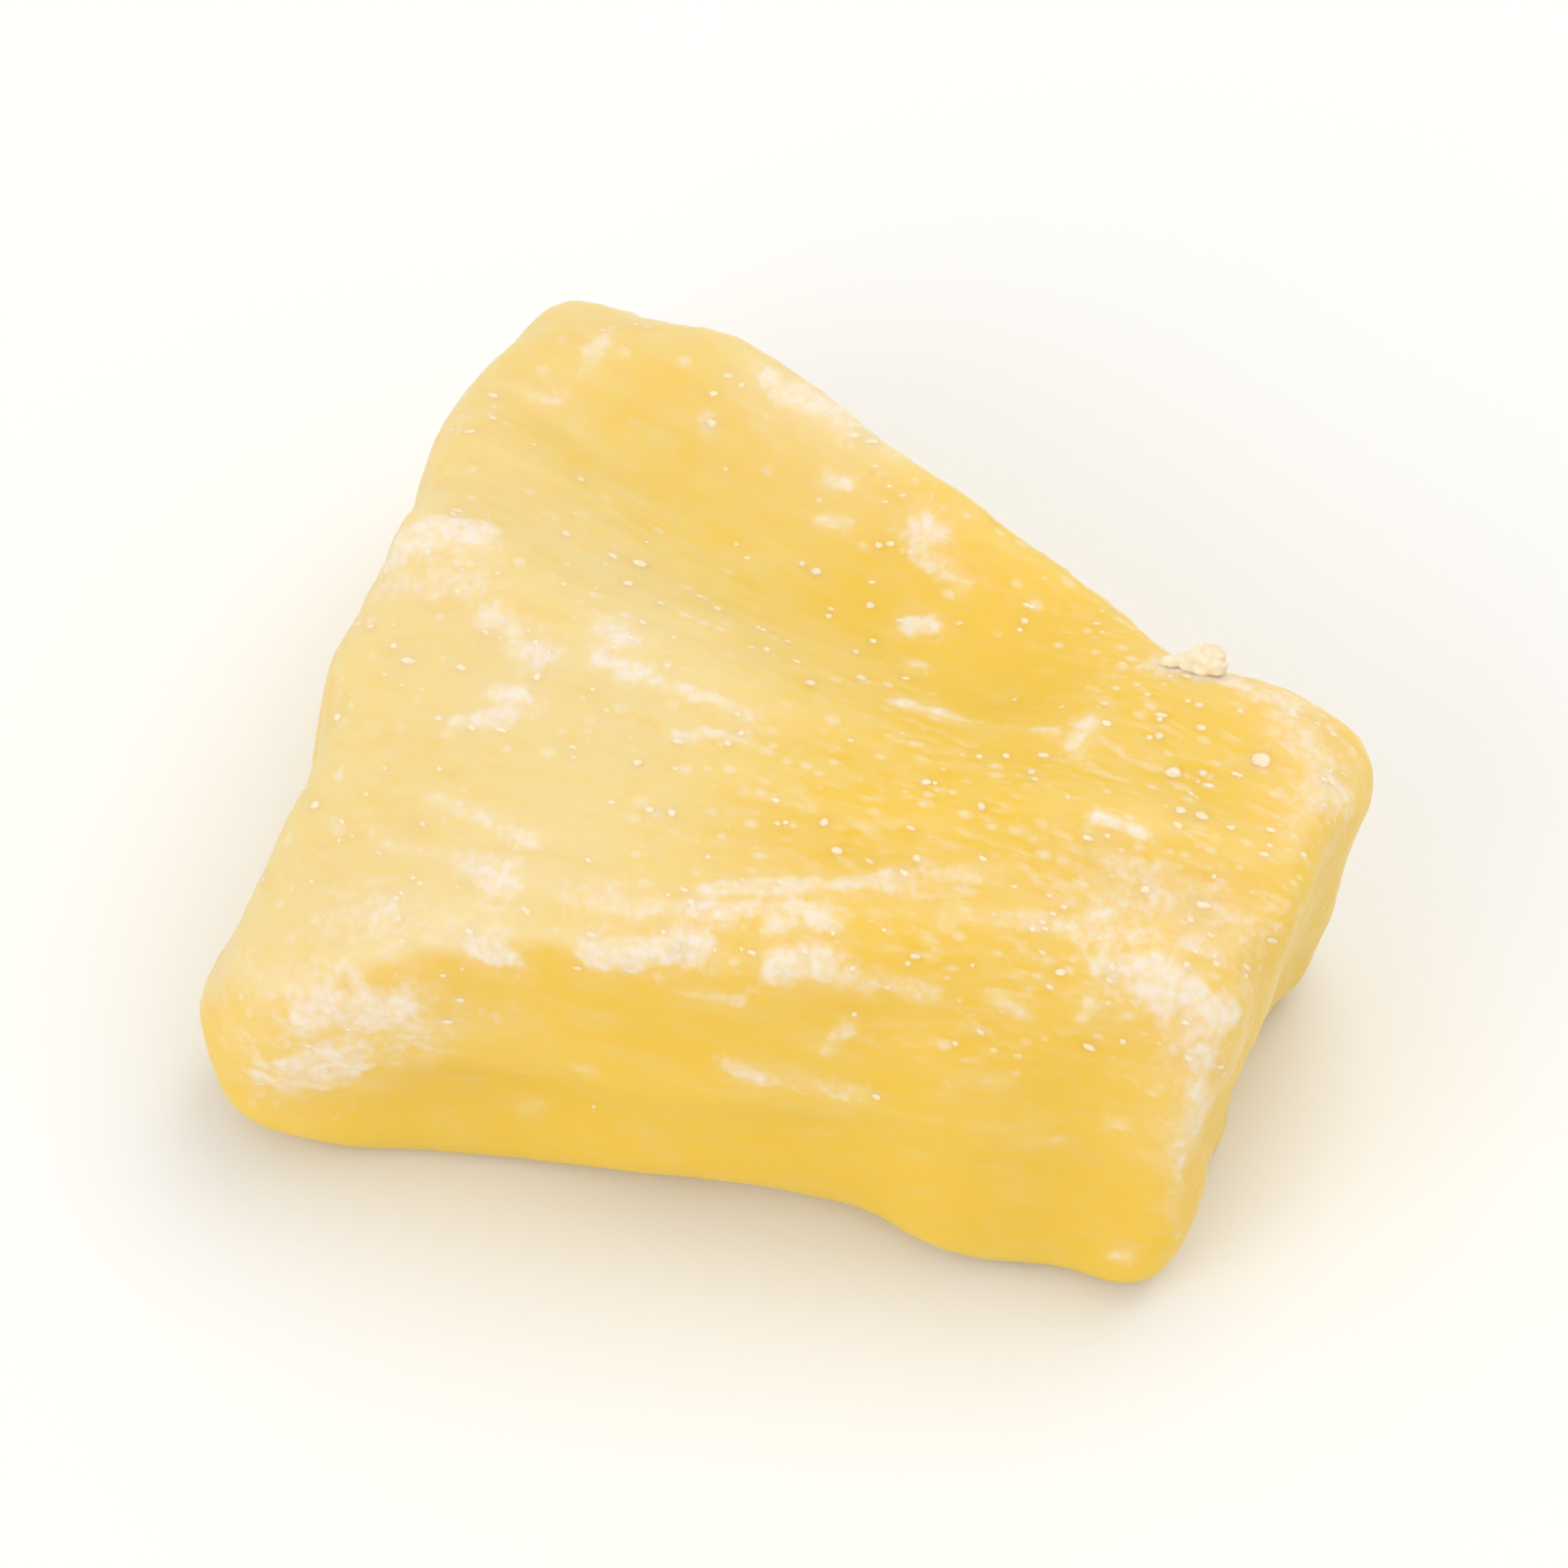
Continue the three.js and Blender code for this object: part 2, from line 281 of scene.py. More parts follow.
FRONT_STROKES = {
    "rim corner, upper blotch": ((-9.5, 7), (-7.2, 7.3), 0.7, 0.85),
    "rim corner, lower blotch": ((-10.5, 3.4), (-8.4, 5), 0.9, 0.72),
    "rim corner, haze": ((-11.5, 5.6), (-6.9, 6.2), 1.7, 0.33),
    "front corner, going down": ((14.7, 9), (14.9, 7), 0.46, 0.6),
    "front corner, haze": ((14, 9.6), (14.6, 6.2), 0.9, 0.3),
    "front corner, faint line": ((14.7, 6.6), (14.8, 3.6), 0.3, 0.35),
    "middle dashes, bright end": ((2.2, 7.2), (3, 6.9), 0.26, 0.62),
    "middle dashes, tail": ((3.1, 6.9), (5.8, 6.7), 0.34, 0.4),
    "upright speck": ((5.1, 8.9), (4.8, 8.1), 0.26, 0.45),
    "dots under the long spot": ((0.5, 9.5), (2.1, 9.4), 0.24, 0.5),
    "core half, upper smear": ((8.4, 7.9), (9.8, 8.1), 0.34, 0.22),
    "core half, middle smear": ((9.2, 6.5), (10, 6.2), 0.34, 0.18),
    "core half, lower smear": ((10.4, 5.7), (11.4, 5.7), 0.3, 0.24),
    "core half, dot": ((12.8, 7), (13.2, 7.1), 0.26, 0.42),
    "dot by the foot": ((13.4, 2.1), (13.7, 2.2), 0.24, 0.6),
    "dot in the rim half": ((-2.1, 5.8), (-1.8, 5.9), 0.2, 0.5),
    "dot below it": ((-3.9, 2.8), (-3.5, 3), 0.22, 0.35),
    "haze beside the rim corner": ((-6.6, 6.2), (-4, 7.3), 0.9, 0.18),
}
# A crystal is a single bright grain that the photo shows on the top: its x, y and radius in millimetres.
TOP_CRYSTALS = (
    (-6.7, 3.2, 0.2), (-7.3, 9.3, 0.16), (-2.2, 5.6, 0.15), (-2.7, 5.7, 0.1), (-0.2, 5, 0.13),
    (-1.1, 4.1, 0.1), (0.5, 3.7, 0.12), (0.3, 2.9, 0.12), (1, 1.8, 0.14), (-0.1, 0.7, 0.14),
    (-1.8, 1.4, 0.11), (12.9, 3.1, 0.26), (10.8, 1.7, 0.22), (12.2, 0.5, 0.18), (11.6, 0.4, 0.15),
    (-9, 3.1, 0.13), (-6.5, 2, 0.14), (-3.9, 2.5, 0.13), (-3.3, -4.1, 0.13), (-1.7, -5.2, 0.13),
    (-2.3, -5.4, 0.12), (-11.8, -7.8, 0.15), (-12.4, -5.1, 0.13), (2.4, -3.8, 0.13), (4.5, -1.4, 0.13),
    (6.3, -1.6, 0.12), (7.1, 0.1, 0.12), (9.9, 2.7, 0.12), (-9.8, 5.7, 0.12),
)
# A clump is a heap of crumbs: the (x, y) of its middle, its half length, half width and height, all in mm,
# and the number of its crumbs.
CLUMPS = {
    "foot on the back edge": ((9.7, 5.4), (0.95, 0.28, 0.2), 34),
    "heap on it": ((9.95, 5.42), (0.65, 0.26, 0.55), 26),
    "its peak": ((10.25, 5.45), (0.45, 0.24, 0.7), 30),
}


FAR_OUT = 40  # mm, outside the wedge on every side
# A dab's frost thins out between two distances from its line, counted in its half widths. So does the thin
# dusting round it, whose strength is counted in the dab's.
DAB_THINS = (0.3, 1.7)
DUSTING, DUSTING_THINS = 0.28, (0.8, 3.2)


class Skin:
    """The dressed wedge's surface as arrays in millimetres, with what is worked out from them."""

    def __init__(self, mesh):
        self.mesh = mesh
        self.points = vertex_array(mesh) / MM
        self.normals = normal_array(mesh)
        self.tree = BVHTree.FromPolygons(self.points.tolist(), [p.vertices[:] for p in mesh.polygons])

    def on_top(self, place):
        """The skin's point, and its normal, straight under a place (x, y)."""
        return self.tree.ray_cast(Vector((*place, FAR_OUT)), Vector((0, 0, -1)))[:2]

    def on_front(self, place):
        """The skin's point, and its normal, on the front cut at a place (x, z)."""
        return self.tree.ray_cast(Vector((place[0], -FAR_OUT, place[1])), Vector((0, 1, 0)))[:2]

    def dab(self, start, end, half_width, ragged):
        """Frost on the line between two points of the skin, with a thin dusting round it."""
        line = end - start
        along = np.clip((self.points - np.array(start)) @ np.array(line) / line.length_squared, 0, 1)
        nearest = np.array(start) + along[:, None] * np.array(line)
        away = np.linalg.norm(self.points - nearest, axis=1) / half_width + ragged
        dusting = DUSTING * (1 - smooth_step(*DUSTING_THINS, away))
        return np.maximum(1 - smooth_step(*DAB_THINS, away), dusting)


# Where one stretch of the skin passes into the next: by its normal's part along an axis, or in millimetres.
TOP_TURNS_UP = (0.35, 0.7)
FRONT_TURNS_OUT = (0.3, 0.7)
CORE_END_TURNS_OUT = (0.4, 0.8)
SEEN_TURNS_TO_CAMERA = (-0.05, 0.2)
EDGE_TURNS_UP = (-0.7, 0.2)
CORE_THIRD_X = (-4, 3.5)
UPPER_FRONT_Z = (3.5, 8.5)
CORE_END_SHOWS = 0.6  # how much of the core end's sugar the photo shows

# The trough's line is a curve in x and y, and its edges fade across it and at its two ends (mm).
TROUGH_X, TROUGH_Y, TROUGH_SLOPE, TROUGH_BEND = -9.5, 7.4, -0.34, 0.0045
TROUGH_BACK_WIDTH, TROUGH_FRONT_WIDTH = 4.2, 3.2
TROUGH_RIM_X, TROUGH_BOWL_X = (-17, -9), (6, 8.5)

EDGE_SPREAD_STEPS = 14
EDGE_STANDS_OUT = 0.16  # mm by which a sharp edge stands out of its smoothed surroundings


class Zones:
    """Which stretch of the wedge each point of its skin belongs to, as shares from 0 to 1."""

    def __init__(self, skin):
        points, normals = skin.points, skin.normals
        upward = smooth_step(*TOP_TURNS_UP, normals[:, 2])
        self.front = smooth_step(*FRONT_TURNS_OUT, -normals[:, 1]) * (1 - upward)
        self.upper_front = self.front * smooth_step(*UPPER_FRONT_Z, points[:, 2])
        self.trough = trough_share(points) * upward
        self.core_third = smooth_step(*CORE_THIRD_X, points[:, 0]) * (1 - self.trough) * upward
        self.plateau = (1 - self.trough) * (1 - self.core_third) * upward
        self.core_end = smooth_step(*CORE_END_TURNS_OUT, normals[:, 0])
        self.hidden = (1 - seen_in_photo(normals)) * (1 - CORE_END_SHOWS * self.core_end)
        self.hidden_sides = self.hidden * (1 - np.clip(upward + self.front + self.core_end, 0, 1))
        self.edges = edge_sharpness(skin) * smooth_step(*EDGE_TURNS_UP, normals[:, 2])

    def blend(self, amounts):
        """What each point has of something, from what each stretch has of it."""
        return sum(amount * getattr(self, zone) for zone, amount in amounts.items())


def seen_in_photo(normals):
    """1 where the skin faces the photo's camera and 0 where it is turned away."""
    return smooth_step(*SEEN_TURNS_TO_CAMERA, normals @ np.array(direction(PHOTO_AZIMUTH, PHOTO_ELEVATION)))


def trough_share(points):
    """1 along the trough that runs from the rim beside the back cut to the bowl near the core end."""
    x, y = points[:, 0], points[:, 1]
    along = x - TROUGH_X
    off = y - (TROUGH_Y + TROUGH_SLOPE * along + TROUGH_BEND * along**2)
    ends = smooth_step(*TROUGH_RIM_X, x) * (1 - smooth_step(*TROUGH_BOWL_X, x))
    return np.exp(-((off / np.where(off > 0, TROUGH_BACK_WIDTH, TROUGH_FRONT_WIDTH)) ** 2)) * ends


def edge_sharpness(skin):
    """0 on a flat stretch and 1 on a sharp outward edge, from how far it stands out of its surroundings."""
    mesh = skin.mesh
    pairs = np.empty(len(mesh.edges) * 2, np.int32)
    mesh.edges.foreach_get("vertices", pairs)
    first, second = pairs.reshape(-1, 2).T
    count = 1 + np.bincount(pairs, minlength=len(skin.points))
    places = skin.points.copy()
    for _ in range(EDGE_SPREAD_STEPS):
        total = places.copy()
        np.add.at(total, first, places[second])
        np.add.at(total, second, places[first])
        places = total / count[:, None]
    stands_out = ((skin.points - places) * skin.normals).sum(axis=1)
    return np.clip(stands_out / EDGE_STANDS_OUT, 0, 1)


# What each stretch of the skin has of a thing, from 0 to 1.
DUST = {"core_third": 0.03, "plateau": 0.16, "trough": 0.03, "upper_front": 0.02}
DASHES = {"core_third": 0.14, "plateau": 0.07, "upper_front": 0.07}
FLAKES = {
    "core_third": 0.8,
    "plateau": 0.5,
    "trough": 0.08,
    "upper_front": 0.1,
    "hidden": 0.5,
    "core_end": 0.25,
}
CLEARNESS = {
    "core_third": 0.97,
    "plateau": 0.15,
    "front": 1.05,
    "upper_front": -0.08,
    "core_end": 0.95,
    "hidden_sides": 0.62,
}
# The trough is clearer towards the bowl: its clearness at the rim, what it gains, and where it gains it (mm).
TROUGH_RIM_CLEAR, TROUGH_GAINS, TROUGH_GAINS_X = 0.56, 0.44, (-9, 3)
CLOUDS, HIDDEN_CLOUDS = 0.2, 0.25  # how far clouds change the clearness, and how much further out of sight
EDGE_CLOUDY = 0.25
CORE_END_CLOUDY, CORE_END_CLOUDS = 0.3, (-0.3, 0.6)  # what it loses, and the cloud noise where it does

MOST_DUST = 0.9
EDGE_DUST, EDGE_PATCHES = 0.24, (-0.5, 0.6)  # how much dust lies there, and the patch noise where it sets in
CORE_END_DUST, CORE_END_PATCHES = 0.4, (0.15, 0.75)
# Below its upper edge (mm) the core end is spared this share of the dust that the rest of the wedge has.
CORE_END_SPARED, CORE_END_UPPER_EDGE_Z = 0.8, (11.5, 10.5)
HIDDEN_DUST, HIDDEN_DRIFTS, HIDDEN_DASHES = 0.12, 0.7, 0.12
DRIFTS_SHOW = (0, 0.85)


def paint_sugar(skin):
    """Stores how thick the frost is, how clear the flesh is, how thick the flakes lie and the fibres' run."""
    places = fibre_places(skin.points)
    zones = Zones(skin)
    frost = frost_thickness(skin, places, zones)
    clear = flesh_clearness(skin, places, zones)
    flakes = np.clip(zones.blend(FLAKES), 0, 1)
    for name, values in (("frost", frost), ("clear", clear), ("flakes", flakes)):
        store_attribute(skin.mesh, name, values)
    fibre = skin.mesh.attributes.new("fibre", "FLOAT_VECTOR", "POINT")
    fibre.data.foreach_set("vector", (places * MM).astype(np.float32).ravel())
    return frost, clear


def frost_thickness(skin, places, zones):
    """How thick the frost is, from 0 to 1: the named strokes, thin dust all over, and drifts out of sight."""
    points = skin.points
    ragged = 0.5 * noise_field(points, (0.6, 0.6, 0.6)) + 0.3 * noise_field(places, (1.4, 0.45, 0.45), 1)
    patches = noise_field(points, (4.5, 4.5, 4.5), 2) + 0.5 * noise_field(points, (1.6, 1.6, 1.6), 3)
    dashes = noise_field(places, (2.2, 0.4, 0.4), 10)
    drifts = noise_field(places, (6.5, 3, 3), 12) + 0.45 * noise_field(places, (2.6, 1.1, 1.1), 13)
    drifts += 0.3 * noise_field(points, (0.6, 0.6, 0.6), 14) + 0.35 * zones.edges

    bare = np.ones(len(points))
    for strokes, find in ((TOP_STROKES, skin.on_top), (FRONT_STROKES, skin.on_front)):
        for start, end, half_width, strength in strokes.values():
            bare *= 1 - strength * skin.dab(find(start)[0], find(end)[0], half_width, ragged)

    dust = zones.blend(DUST) + zones.blend(DASHES) * dashes
    dust += EDGE_DUST * zones.edges * smooth_step(*EDGE_PATCHES, patches)
    dust *= 1 - CORE_END_SPARED * zones.core_end * smooth_step(*CORE_END_UPPER_EDGE_Z, points[:, 2])
    dust += CORE_END_DUST * zones.core_end * smooth_step(*CORE_END_PATCHES, patches)
    drifted = HIDDEN_DRIFTS * smooth_step(*DRIFTS_SHOW, drifts)
    dust += zones.hidden * (HIDDEN_DUST + drifted + HIDDEN_DASHES * dashes)
    return np.clip(1 - bare * (1 - np.clip(dust, 0, MOST_DUST)), 0, 1)


def flesh_clearness(skin, places, zones):
    """How clear the flesh is, from 0 where it is cloudy to 1 where it is clear as honey."""
    clouds = noise_field(skin.points, (5, 5, 5), 5) + 0.5 * noise_field(places, (4, 1.5, 1.5), 9)
    trough_clear = TROUGH_RIM_CLEAR + TROUGH_GAINS * smooth_step(*TROUGH_GAINS_X, skin.points[:, 0])
    clear = zones.blend(CLEARNESS) + trough_clear * zones.trough
    clear += (CLOUDS + HIDDEN_CLOUDS * zones.hidden) * clouds
    clear = np.clip(clear - EDGE_CLOUDY * zones.edges * (1 - zones.core_end), 0, 1)
    return clear - CORE_END_CLOUDY * zones.core_end * smooth_step(*CORE_END_CLOUDS, clouds)


# ---------- pieces ----------
FLESH_SMOOTHINGS, CRUMB_SMOOTHINGS = 6, 4
FIBRE_LUMPS, DENT_LUMPS, CRUST_LUMPS = (6, 0.8, 0.8), (2.6, 2.2, 2.2), (0.5, 0.5, 0.5)  # mm
RESTING_BELOW, RESTING_TURNS = 0.25, -0.6  # the height (mm) and the normal's Z under which the skin rests


class FRUIT_OT_flesh(bpy.types.Operator):
    """Rounds a copy of the wedge's solid and gives it fibres, dents and its sugar frost"""

    bl_idname = "fruit.flesh"
    bl_label = "Candied flesh"

    def execute(self, context):
        settings = context.scene.fruit_flesh
        flesh = copy_of_solid("candied_flesh")
        apply_modifier(flesh, "SUBSURF", levels=1, render_levels=1)
        apply_modifier(flesh, "REMESH", mode="VOXEL", voxel_size=settings.voxel)
        apply_modifier(flesh, "SMOOTH", factor=0.5, iterations=FLESH_SMOOTHINGS)
        skin = Skin(flesh.data)
        frost, clear = paint_sugar(skin)
        moved = skin.points * MM + skin.normals * skin_relief(skin, frost, clear, settings)[:, None]
        moved[:, 2] = np.maximum(moved[:, 2], 0)
        flesh.data.vertices.foreach_set("co", moved.astype(np.float32).ravel())
        flesh.data.update()
        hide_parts(SOLID)
        finish_piece(flesh, flesh_material(settings, context.scene.fruit_sugar))
        return {"FINISHED"}


def skin_relief(skin, frost, clear, settings):
    """How far fibres, dents and crust lift each point of the skin, in metres, and nothing where it rests."""
    fibres = 1 - 2 * np.abs(noise_field(fibre_places(skin.points), FIBRE_LUMPS, 6))
    dents = noise_field(skin.points, DENT_LUMPS, 7)
    crust = frost * (0.6 + 0.7 * noise_field(skin.points, CRUST_LUMPS, 8))
    rise = (
        settings.fibre_rise * fibres * (1.15 - 0.8 * clear)
        + settings.dimple_rise * dents
        + settings.crust_rise * crust
    )
    rise[(skin.points[:, 2] < RESTING_BELOW) & (skin.normals[:, 2] < RESTING_TURNS)] = 0
    return rise


BALL_FINENESS = 2  # subdivisions of the ball that flakes and crumbs are squashed from
# Heights and depths are over the lump's radius, and uneven is how far its corners stray, over the same.
FLAKE_HEIGHT, FLAKE_SUNK, FLAKE_UNEVEN, FLAKE_LONGER = 0.45, 0.26, 0.12, 1.2
FLAKES_MOSTLY_SMALL = 2.5  # 1 would spread their sizes evenly, and more than 1 makes more of them small
CRYSTAL_HEIGHT, CRYSTAL_SUNK, CRYSTAL_UNEVEN, CRYSTAL_LENGTH = 0.6, 0.2, 0.15, 1.2
CRUMB_HEIGHT, CRUMB_UNEVEN, CRUMB_LONGEST = 0.8, 0.2, 1.5
CRUMB_SMALLEST, CRUMB_LARGEST = 0.13, 0.25  # mm, radius
CRUMB_STEP = 0.05 * MM  # spacing of the vertices where crumbs are melted into one another
CLUMP_NARROWS = 0.75  # how much narrower a clump is at its top
LUMPS_STRAY = 0.3  # radians by which round lumps stray from the fibres, and long ones less
FLAKES_ON_FROST = 0.8  # how many flakes full frost draws, over those where the skin has most of them
FLAKES_TURN_UP = (-0.6, 0.1)  # the normal's Z between which the skin goes from no flakes to all of them


class FRUIT_OT_flakes(bpy.types.Operator):
    """Scatters flat, half-sunk sugar flakes over the flesh, and sets the bright crystals in their places"""

    bl_idname = "fruit.flakes"
    bl_label = "Sugar flakes"

    def execute(self, context):
        settings = context.scene.fruit_sugar
        skin = Skin(bpy.data.objects["candied_flesh"].data)
        draw = np.random.RandomState(settings.seed)
        maker = LumpMaker(draw)
        for place, normal in scattered_places(skin, settings.flakes, draw):
            larger = draw.rand() ** FLAKES_MOSTLY_SMALL
            size = settings.smallest + (settings.largest - settings.smallest) * larger
            place -= normal * size * FLAKE_SUNK
            length = 1 + FLAKE_LONGER * draw.rand()
            maker.add(place, normal, size, length, FLAKE_HEIGHT, FLAKE_UNEVEN)
        for x, y, radius in TOP_CRYSTALS:
            place, normal = skin.on_top((x, y))
            place = (place - normal * radius * CRYSTAL_SUNK) * MM
            maker.add(place, normal, radius * MM, CRYSTAL_LENGTH, CRYSTAL_HEIGHT, CRYSTAL_UNEVEN)
        maker.build("sugar_flakes", settings)
        return {"FINISHED"}


class FRUIT_OT_crumbs(bpy.types.Operator):
    """Heaps up crumbs of sugar on the back edge and melts them into one clump"""

    bl_idname = "fruit.crumbs"
    bl_label = "Sugar crumbs"

    def execute(self, context):
        settings = context.scene.fruit_sugar
        skin = Skin(bpy.data.objects["candied_flesh"].data)
        draw = np.random.RandomState(settings.seed + 1)
        maker = LumpMaker(draw)
        for middle, (half_length, half_width, height), count in CLUMPS.values():
            for level in np.linspace(0, 1, count):
                spread = draw.uniform(-1, 1, 2) * (1 - CLUMP_NARROWS * level) * (half_length, half_width)
                point, normal = skin.on_top(np.array(middle) + spread)
                point = (point + normal * height * level) * MM
                radius = draw.uniform(CRUMB_SMALLEST, CRUMB_LARGEST) * MM
                length = draw.uniform(1, CRUMB_LONGEST)
                maker.add(point, normal, radius, length, CRUMB_HEIGHT, CRUMB_UNEVEN)
        crumbs = maker.build("sugar_crumbs", settings)
        apply_modifier(crumbs, "REMESH", mode="VOXEL", voxel_size=CRUMB_STEP)
        apply_modifier(crumbs, "SMOOTH", factor=0.5, iterations=CRUMB_SMOOTHINGS)
        return {"FINISHED"}


def scattered_places(skin, count, draw):
    """Random points of the skin with their normals, thickest where it has most flakes and frost."""
    mesh = skin.mesh
    area = np.empty(len(mesh.polygons))
    mesh.polygons.foreach_get("area", area)
    corner = np.empty(len(mesh.polygons), np.int32)
    mesh.polygons.foreach_get("loop_start", corner)
    vertex_of = np.empty(len(mesh.loops), np.int32)
    mesh.loops.foreach_get("vertex_index", vertex_of)
    first = vertex_of[corner]
    wanted = read_attribute(mesh, "flakes")[first] + FLAKES_ON_FROST * read_attribute(mesh, "frost")[first]
    share = area * wanted * smooth_step(*FLAKES_TURN_UP, skin.normals[first][:, 2])
    chosen = draw.choice(len(area), count, replace=False, p=share / share.sum())
    return [(mesh.polygons[i].center.copy(), mesh.polygons[i].normal.copy()) for i in chosen]


def ball_shape():
    """A ball of radius 1 as corners and faces, to be squashed into flakes and crumbs."""
    bpy.ops.object.select_all(action="DESELECT")
    bpy.ops.mesh.primitive_ico_sphere_add(subdivisions=BALL_FINENESS, radius=1)
    ball = bpy.context.active_object
    shape = [v.co.copy() for v in ball.data.vertices], [list(p.vertices) for p in ball.data.polygons]
    bpy.data.objects.remove(ball)
    return shape


class LumpMaker:
    """Gathers squashed, uneven lumps that lie on the skin with their long side along the fibres."""

    def __init__(self, draw):
        self.draw = draw
        self.ball_corners, self.ball_faces = ball_shape()
        self.vertices = []
        self.faces = []

    def add(self, place, normal, size, length, height, uneven):
        """Adds a lump of a radius (size), with its length, height and unevenness counted in that radius."""
        fibre = Vector((-1, -place.y / (FIBRES_MEET_X - place.x), 0))
        across = normal.cross(fibre).normalized()
        along = across.cross(normal)
        turned = Matrix.Rotation(self.draw.normal(0, LUMPS_STRAY / length), 3, "Z")
        axes = Matrix((along, across, normal)).transposed() @ turned
        squash = Matrix.Diagonal(Vector((size * length, size, size * height)))
        start = len(self.vertices)
        for corner in self.ball_corners:
            swollen = corner * (1 + uneven * self.draw.uniform(-1, 1))
            self.vertices.append(axes @ (squash @ swollen) + place)
        self.faces += [[start + i for i in face] for face in self.ball_faces]

    def build(self, name, settings):
        """Makes the gathered lumps one piece of sugar."""
        mesh = bpy.data.meshes.new(name)
        mesh.from_pydata(self.vertices, [], self.faces)
        piece = bpy.data.objects.new(name, mesh)
        bpy.context.scene.collection.objects.link(piece)
        finish_piece(piece, sugar_material(settings))
        return piece


# ---------- materials ----------
# Sizes of the patterns' lumps in metres, and how much longer these are along each axis.
STREAK_SIZE, STREAK_STRETCH = 0.34 * MM, (8, 1, 1)
MOTTLE_SIZE, MOTTLE_STRETCH = 0.8 * MM, (1.5, 1, 1)
DASH_SIZE, DASH_STRETCH = 0.3 * MM, (2.6, 1, 1)
SPECK_CELL, SPECK_STRETCH = 0.45 * MM, (1.4, 1, 1)
GRAIN_SIZE = 0.3 * MM
GRAIN_PALES = (0.3, 0.65)  # the grain noise between which sugar goes from its painted shade colour to its pale one

STREAKS, MOTTLE = 0.6, 0.8  # how far the two change the flesh's clearness
FROST_PALES = 0.42  # how far frost shines through between its crumbs
CRUMBLES_WITH_GRAIN, CRUMBLES_WITH_MOTTLE = 0.8, 1.0
FROST_SHOWS, FROST_HIDES = (1.15, 2.05), 0.95
SPECKS_PER_FLAKES, SPECKS_HIDE = 0.85, 0.6
SPECK_SMALLEST, SPECK_GROWS, SPECK_CORE = 0.15, 0.5, 0.05  # radii, over the size of a cell
SPECK_CONTRAST = 6.0
DASHES_PER_FLAKES, DASHES_SHOW, DASHES_FADE_IN = 0.1, (0.46, 0.8), (0, 1.7)
DASH_PATCHES = (0.3, 0.75)
FLESH_ROUGHNESS, SUGAR_ROUGHER = 0.42, 0.3
CRYSTAL_ROUGHNESS, CRYSTALS_VARY = 0.35, 0.4


def node(tree, kind, **settings):
    made = tree.nodes.new(kind)
    for name, value in settings.items():
        setattr(made, name, value)
    return made


def plug(tree, value, socket):
    """Links a socket to a node's input, or sets the input to a plain number or colour."""
    if isinstance(value, bpy.types.NodeSocket):
        tree.links.new(value, socket)
    elif isinstance(value, (float, int)):
        socket.default_value = value
    else:
        socket.default_value = (*value, 1)


def new_material(name):
    material = bpy.data.materials.new(name)
    material.use_nodes = True
    tree = material.node_tree
    return material, tree, tree.nodes["Principled BSDF"]


def value_of(tree, name):
    return node(tree, "ShaderNodeAttribute", attribute_name=name).outputs["Fac"]


def math_node(tree, operation, first, second, third=0.0, clamp=False):
    made = node(tree, "ShaderNodeMath", operation=operation, use_clamp=clamp)
    for socket, value in zip(made.inputs, (first, second, third)):
        plug(tree, value, socket)
    return made.outputs[0]


def mix_colour(tree, share, first, second):
    made = node(tree, "ShaderNodeMix", data_type="RGBA")
    for socket, value in zip((made.inputs[0], made.inputs[6], made.inputs[7]), (share, first, second)):
        plug(tree, value, socket)
    return made.outputs[2]


def step_node(tree, value, low, high):
    made = node(tree, "ShaderNodeMapRange", interpolation_type="SMOOTHSTEP")
    plug(tree, value, made.inputs["Value"])
    made.inputs["From Min"].default_value = low
    made.inputs["From Max"].default_value = high
    return made.outputs["Result"]


def noise_node(tree, vector, size, detail=2.0, stretch=(1, 1, 1)):
    """Noise of about 0 to 1 with lumps of the given size in metres, longer where stretch is above 1."""
    mapping = node(tree, "ShaderNodeMapping")
    mapping.inputs["Scale"].default_value = [1 / (size * s) for s in stretch]
    plug(tree, vector, mapping.inputs["Vector"])
    made = node(tree, "ShaderNodeTexNoise")
    made.inputs["Scale"].default_value = 1
    made.inputs["Detail"].default_value = detail
    plug(tree, mapping.outputs["Vector"], made.inputs["Vector"])
    return made.outputs["Fac"]


def soft_specks(tree, vector, density):
    """Soft dots of sugar, of uneven size, in about the share of the cells that the density gives."""
    mapping = node(tree, "ShaderNodeMapping")
    mapping.inputs["Scale"].default_value = [1 / (SPECK_CELL * s) for s in SPECK_STRETCH]
    plug(tree, vector, mapping.inputs["Vector"])
    cells = node(tree, "ShaderNodeTexVoronoi")
    cells.inputs["Scale"].default_value = 1
    plug(tree, mapping.outputs["Vector"], cells.inputs["Vector"])
    chance = node(tree, "ShaderNodeSeparateColor")
    plug(tree, cells.outputs["Color"], chance.inputs["Color"])
    shown = math_node(tree, "SUBTRACT", density, chance.outputs["Red"])
    shown = math_node(tree, "MULTIPLY", shown, SPECK_CONTRAST, clamp=True)
    radius = math_node(tree, "MULTIPLY_ADD", chance.outputs["Green"], SPECK_GROWS, SPECK_SMALLEST)
    dot = node(tree, "ShaderNodeMapRange", interpolation_type="SMOOTHSTEP")
    plug(tree, cells.outputs["Distance"], dot.inputs["Value"])
    plug(tree, radius, dot.inputs["From Min"])
    dot.inputs["From Max"].default_value = SPECK_CORE
    return math_node(tree, "MULTIPLY", shown, dot.outputs["Result"])


